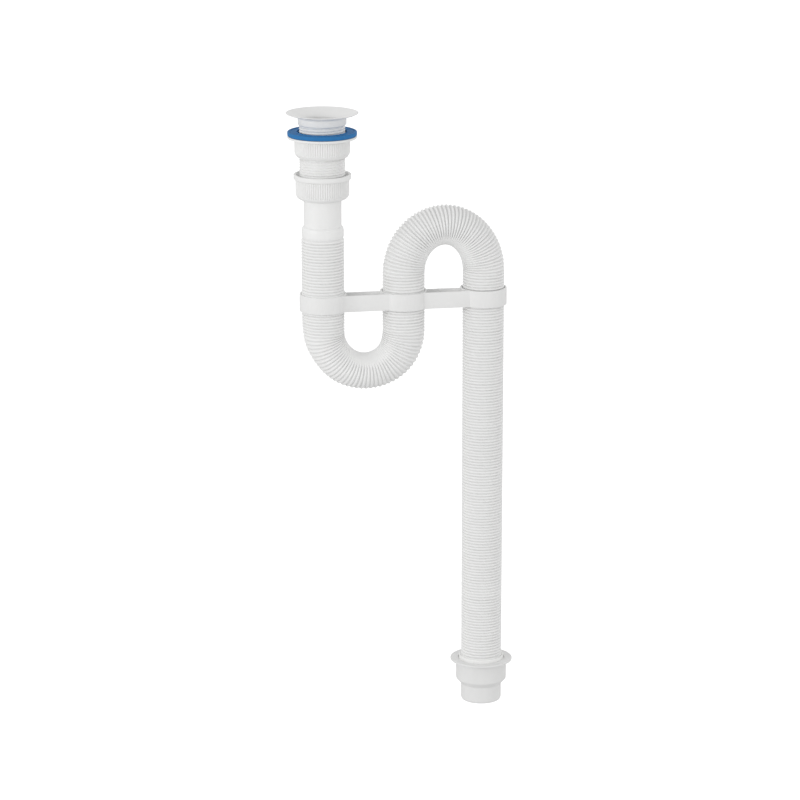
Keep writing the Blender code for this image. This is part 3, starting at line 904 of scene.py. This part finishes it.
@dataclass
class HoseBracket:
    """Three rings with soft facets, joined by two bars of two upright walls each."""

    bore: float = 0.0208
    wall: float = 0.0022
    limb_pitch: float = 0.0788
    bar_wall: float = 0.0018
    bar_root: float = 0.0007
    bar_front_inset: float = 0.0074
    bar_back: float = 0.0018
    bar_edge: float = 0.0003
    facets: int = 10
    facet_turn: float = math.radians(-98.0)
    facet_depth: float = 0.00028
    edge: float = 0.0006
    sides: int = 120

    def ring(self, limb: int, low: float, high: float) -> bpy.types.Object:
        """One ring round a limb, its outside drawn in a little at the middle of each facet.

        Args:
            limb: Number of the limb, from the inlet.
            low: Lower edge.
            high: Upper edge.

        Returns:
            The ring.
        """
        outer = self.bore + self.wall

        def facet(angle: np.ndarray, radius: np.ndarray, height: np.ndarray) -> np.ndarray:
            """Change of radius between the soft corners of the ring."""
            span = TURN / self.facets
            away = np.mod(angle - self.facet_turn, span) / span - 0.5
            flat = 1.0 - (2.0 * away) ** 2
            return -self.facet_depth * flat * (radius > self.bore + self.wall / 2)

        corners: Profile = [
            (outer, high, self.edge),
            (outer, low, self.edge),
            (self.bore, low, self.edge / 2),
            (self.bore, high, self.edge / 2),
        ]
        outline = softened(corners, 5)
        return turned(f"bracket_ring_{limb}", outline, self.sides, limb * self.limb_pitch, facet)

    def bar(self, near: float, far: float, span: int, low: float, high: float) -> bpy.types.Object:
        """One upright wall between two rings.

        Args:
            near: Y of its front.
            far: Y of its back.
            span: Number of the gap between limbs, from the inlet.
            low: Lower edge.
            high: Upper edge.

        Returns:
            The wall, with its ends inside the rings' walls.
        """
        reach = math.sqrt((self.bore + self.bar_root) ** 2 - min(abs(near), abs(far)) ** 2)
        left, right = span * self.limb_pitch + reach, (span + 1) * self.limb_pitch - reach
        section = softened(
            [(near, low, self.bar_edge), (far, low, self.bar_edge), (far, high, self.bar_edge),
             (near, high, self.bar_edge)],
            3,
        )
        count = len(section)
        points = [(x, y, z) for x in (left, right) for y, z in section.tolist()]
        faces: list[list[int]] = [list(range(count))[::-1], list(range(count, 2 * count))]
        faces += [[n, (n + 1) % count, count + (n + 1) % count, count + n] for n in range(count)]
        mesh = bpy.data.meshes.new(f"bracket_bar_{span}")
        mesh.from_pydata(points, [], faces)
        mesh.shade_smooth()
        mesh.set_sharp_from_angle(angle=math.radians(40.0))
        piece = bpy.data.objects.new(mesh.name, mesh)
        bpy.context.scene.collection.objects.link(piece)
        return piece

    def build(self, finish: bpy.types.Material) -> None:
        """Make the rings and the bars and join them into one moulding."""
        low_corner, high_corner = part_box("hose_bracket")
        low, high = low_corner.z, high_corner.z
        bracket = self.ring(0, low, high)
        bracket.name = "hose_bracket_moulding"
        others = [self.ring(limb, low, high) for limb in (1, 2)]
        front = self.bar_front_inset - self.bore - self.wall
        inset = self.bar_edge
        for span in (0, 1):
            others.append(self.bar(front, front + self.bar_wall, span, low + inset, high - inset))
            back = self.bar_back - self.bar_wall
            others.append(self.bar(back, self.bar_back, span, low + inset, high - inset))
        for part in others:
            union = bracket.modifiers.new("join_" + part.name, "BOOLEAN")
            union.operation = "UNION"
            union.solver = "EXACT"
            union.object = part
        applied(bracket)
        for part in others:
            bpy.data.objects.remove(part, do_unlink=True)
        dressed(bracket, finish, Slot.BRACKET, Body.TRAP, "hose_bracket")


def applied(piece: bpy.types.Object) -> None:
    """Replace a piece's mesh by what its modifiers make of it.

    Args:
        piece: The piece, whose modifiers are then removed.
    """
    graph = bpy.context.evaluated_depsgraph_get()
    mesh = bpy.data.meshes.new_from_object(piece.evaluated_get(graph))
    piece.modifiers.clear()
    piece.data = mesh


@dataclass
class Outlet:
    """Stepped outlet reducer with its lip ring."""

    flange_thickness: float = 0.0018
    body_radius: float = 0.0250
    body_height: float = 0.0212
    chamfer: float = 0.0051
    spigot_radius: float = 0.0200
    spigot_bore: float = 0.0180
    end_round: float = 0.0018
    mouth: float = 0.0230
    hose_insertion: float = 0.0187
    seal_bore: float = 0.0201
    seal_rise: float = 0.0022
    seal_slot: float = 0.0008
    seal_slot_depth: float = 0.0007
    seal_gap: float = 0.0003
    sides: int = 128

    def build(self, finish: bpy.types.Material, seal_finish: bpy.types.Material) -> None:
        """Make the reducer and its lip ring."""
        place = NodePlace.of("outlet_reducer")
        body_low = place.top - self.body_height
        corners: Profile = [
            (place.radius, place.top, 0.0006),
            (place.radius, place.top - self.flange_thickness, 0.0005),
            (self.body_radius, place.top - self.flange_thickness, 0.0006),
            (self.body_radius, body_low, 0.0012),
            (self.spigot_radius, body_low - self.chamfer, 0.0008),
            (self.spigot_radius, place.bottom + self.end_round, 0.0016),
            (self.spigot_radius - 0.0010, place.bottom, 0.0006),
            (self.spigot_bore, place.bottom, 0.0003),
            (self.spigot_bore, place.top - self.hose_insertion, 0.0002),
            (self.mouth, place.top - self.hose_insertion, 0.0002),
            (self.mouth, place.top, 0.0004),
        ]
        reducer = turned("outlet_reducer_moulding", softened(corners, 6), self.sides, place.axis_x)
        dressed(reducer, finish, Slot.OUTLET, Body.OUTLET, "outlet_reducer")
        self.build_seal(seal_finish, place)

    def build_seal(self, finish: bpy.types.Material, place: NodePlace) -> None:
        """Make the lip ring.

        Args:
            finish: Its material.
            place: Where the reducer lies.
        """
        seal = NodePlace.of("outlet_seal")
        outer = self.mouth - self.seal_gap
        lip = outer - self.seal_slot
        lip_top = seal.top + self.seal_rise
        slot_z = place.top - self.seal_slot_depth
        corners: Profile = [
            (lip, lip_top, 0.0005),
            (lip, slot_z, 0.0003),
            (outer, slot_z, 0.0003),
            (outer, seal.bottom, 0.0004),
            (self.seal_bore, seal.bottom, 0.0004),
            (self.seal_bore, lip_top, 0.0005),
        ]
        ring = turned("outlet_lip_ring", softened(corners, 5), self.sides, seal.axis_x)
        dressed(ring, finish, Slot.PALE_SEAL, Body.OUTLET, "outlet_seal")


@dataclass(frozen=True)
class SoftLamp:
    """A square studio lamp that looks at the part."""

    name: str
    place: tuple[float, float, float]
    size: float
    power: float

    def light(self, target: tuple[float, float, float]) -> None:
        """Hang the lamp.

        Args:
            target: The point that it looks at.
        """
        data = bpy.data.lights.new(self.name, "AREA")
        data.size = self.size
        data.energy = self.power
        lamp = bpy.data.objects.new(self.name, data)
        bpy.context.scene.collection.objects.link(lamp)
        lamp.location = self.place
        towards = np.array(target) - np.array(self.place)
        yaw = math.atan2(-towards[0], towards[1])
        pitch = math.atan2(math.hypot(towards[0], towards[1]), -towards[2])
        lamp.rotation_euler = (pitch, 0.0, yaw)


@dataclass
class Studio:
    """Camera at the photograph's angle, a pale floor below the hanging part, and soft light."""

    camera_place: tuple[float, float, float] = (-0.51353, -3.17702, 0.56923)
    camera_tilt: float = math.radians(75.2)
    camera_yaw: float = math.radians(-10.5)
    lens: float = 154.35
    target: tuple[float, float, float] = (0.075, 0.0, -0.285)
    floor_drop: float = 0.35
    floor_half: float = 20.0
    floor_colour: tuple[float, float, float] = (0.74, 0.74, 0.74)
    floor_glow: float = 0.62
    floor_roughness: float = 0.9
    daylight: float = 0.78
    lamps: tuple[SoftLamp, ...] = (
        SoftLamp("key_lamp", (-2.5, -1.6, 0.45), 1.1, 26.0),
        SoftLamp("fill_lamp", (0.8, -3.2, 0.1), 1.6, 3.5),
        SoftLamp("side_lamp", (2.9, -1.3, 0.05), 1.2, 12.0),
    )

    def build(self) -> None:
        """Set up the whole studio."""
        self.camera()
        self.floor()
        self.world()
        for lamp in self.lamps:
            lamp.light(self.target)
        bpy.context.scene.view_settings.view_transform = "Standard"

    def camera(self) -> None:
        """Put the camera where the photograph was taken from."""
        data = bpy.data.cameras.new("camera")
        data.lens = self.lens
        camera = bpy.data.objects.new("camera", data)
        bpy.context.scene.collection.objects.link(camera)
        camera.location = self.camera_place
        camera.rotation_euler = (self.camera_tilt, 0.0, self.camera_yaw)
        bpy.context.scene.camera = camera

    def floor(self) -> None:
        """Lay the pale floor."""
        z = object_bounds()[0][2] - self.floor_drop
        half = self.floor_half
        mesh = bpy.data.meshes.new("floor")
        corners = [(-half, -half, z), (half, -half, z), (half, half, z), (-half, half, z)]
        mesh.from_pydata(corners, [], [(0, 1, 2, 3)])
        floor = bpy.data.objects.new("floor", mesh)
        bpy.context.scene.collection.objects.link(floor)
        material = bpy.data.materials.new("floor_paint")
        material.use_nodes = True
        nodes = material.node_tree.nodes
        link = material.node_tree.links.new
        shader = nodes["Principled BSDF"]
        shader.inputs["Base Color"].default_value = (*self.floor_colour, 1.0)
        shader.inputs["Roughness"].default_value = self.floor_roughness
        shader.inputs["Emission Color"].default_value = (1.0, 1.0, 1.0, 1.0)
        path = nodes.new("ShaderNodeLightPath")
        glow = nodes.new("ShaderNodeMath")
        glow.operation = "MULTIPLY"
        glow.inputs[1].default_value = self.floor_glow
        link(path.outputs["Is Camera Ray"], glow.inputs[0])
        link(glow.outputs["Value"], shader.inputs["Emission Strength"])
        mesh.materials.append(material)
        floor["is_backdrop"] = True

    def world(self) -> None:
        """White behind the part for the camera and for reflections, softer as a light."""
        world = bpy.data.worlds.new("studio")
        bpy.context.scene.world = world
        world.use_nodes = True
        nodes = world.node_tree.nodes
        link = world.node_tree.links.new
        nodes.clear()
        out = nodes.new("ShaderNodeOutputWorld")
        mix = nodes.new("ShaderNodeMixShader")
        path = nodes.new("ShaderNodeLightPath")
        soft = nodes.new("ShaderNodeBackground")
        soft.inputs["Strength"].default_value = self.daylight
        white = nodes.new("ShaderNodeBackground")
        white.inputs["Color"].default_value = (1.0, 1.0, 1.0, 1.0)
        soft.inputs["Color"].default_value = (1.0, 1.0, 1.0, 1.0)
        seen = nodes.new("ShaderNodeMath")
        seen.operation = "MAXIMUM"
        link(path.outputs["Is Camera Ray"], seen.inputs[0])
        link(path.outputs["Is Transmission Ray"], seen.inputs[1])
        shown = nodes.new("ShaderNodeMath")
        shown.operation = "MAXIMUM"
        link(seen.outputs["Value"], shown.inputs[0])
        link(path.outputs["Is Glossy Ray"], shown.inputs[1])
        link(shown.outputs["Value"], mix.inputs["Fac"])
        link(soft.outputs["Background"], mix.inputs[1])
        link(white.outputs["Background"], mix.inputs[2])
        link(mix.outputs["Shader"], out.inputs["Surface"])


WHITE = MouldedFinish("white_polypropylene", (0.83, 0.83, 0.825), (0.79, 0.79, 0.785), (0.34, 0.46))
# The hose's finish darkens its fold valleys with painted shade.
HOSE_WHITE = MouldedFinish(
    "hose_polypropylene", (0.845, 0.845, 0.84), (0.805, 0.805, 0.80), (0.36, 0.50), painted_hollow_shade=0.08
)
CLIP_WHITE = MouldedFinish("bracket_polypropylene", (0.805, 0.805, 0.80), (0.765, 0.765, 0.76), (0.36, 0.48))
OUTLET_WHITE = MouldedFinish("outlet_polypropylene", (0.775, 0.775, 0.77), (0.735, 0.735, 0.73), (0.38, 0.50))
LIP_WHITE = MouldedFinish("lip_elastomer", (0.87, 0.87, 0.86), (0.84, 0.84, 0.83), (0.50, 0.62))
BLUE = MouldedFinish(
    "blue_rubber_skin",
    (0.019, 0.145, 0.375),
    (0.028, 0.185, 0.450),
    (0.55, 0.70),
    cloud_size=0.006,
    skin_size=0.0004,
    skin_height=0.00003,
    specular=0.2,
)
BLACK = MouldedFinish("seal_rubber_skin", (0.030, 0.030, 0.032), (0.022, 0.022, 0.024), (0.55, 0.70))


def main() -> None:
    logging.basicConfig(level=logging.INFO, format="%(name)s %(message)s")
    white = WHITE.material()
    waste = Waste()
    waste.build(white)
    SinkGasket().build(BLUE.material(), waste.collar_radius)
    FlangeNut().build(white)
    CouplingNut().build(white)
    seal_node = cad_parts["inlet_seal"]
    seal_node.data.materials.clear()
    seal_node.data.materials.append(BLACK.material())
    TrapHose().build(HOSE_WHITE.material())
    HoseBracket().build(CLIP_WHITE.material())
    Outlet().build(OUTLET_WHITE.material(), LIP_WHITE.material())
    Studio().build()


if __name__ == "__main__":
    main()
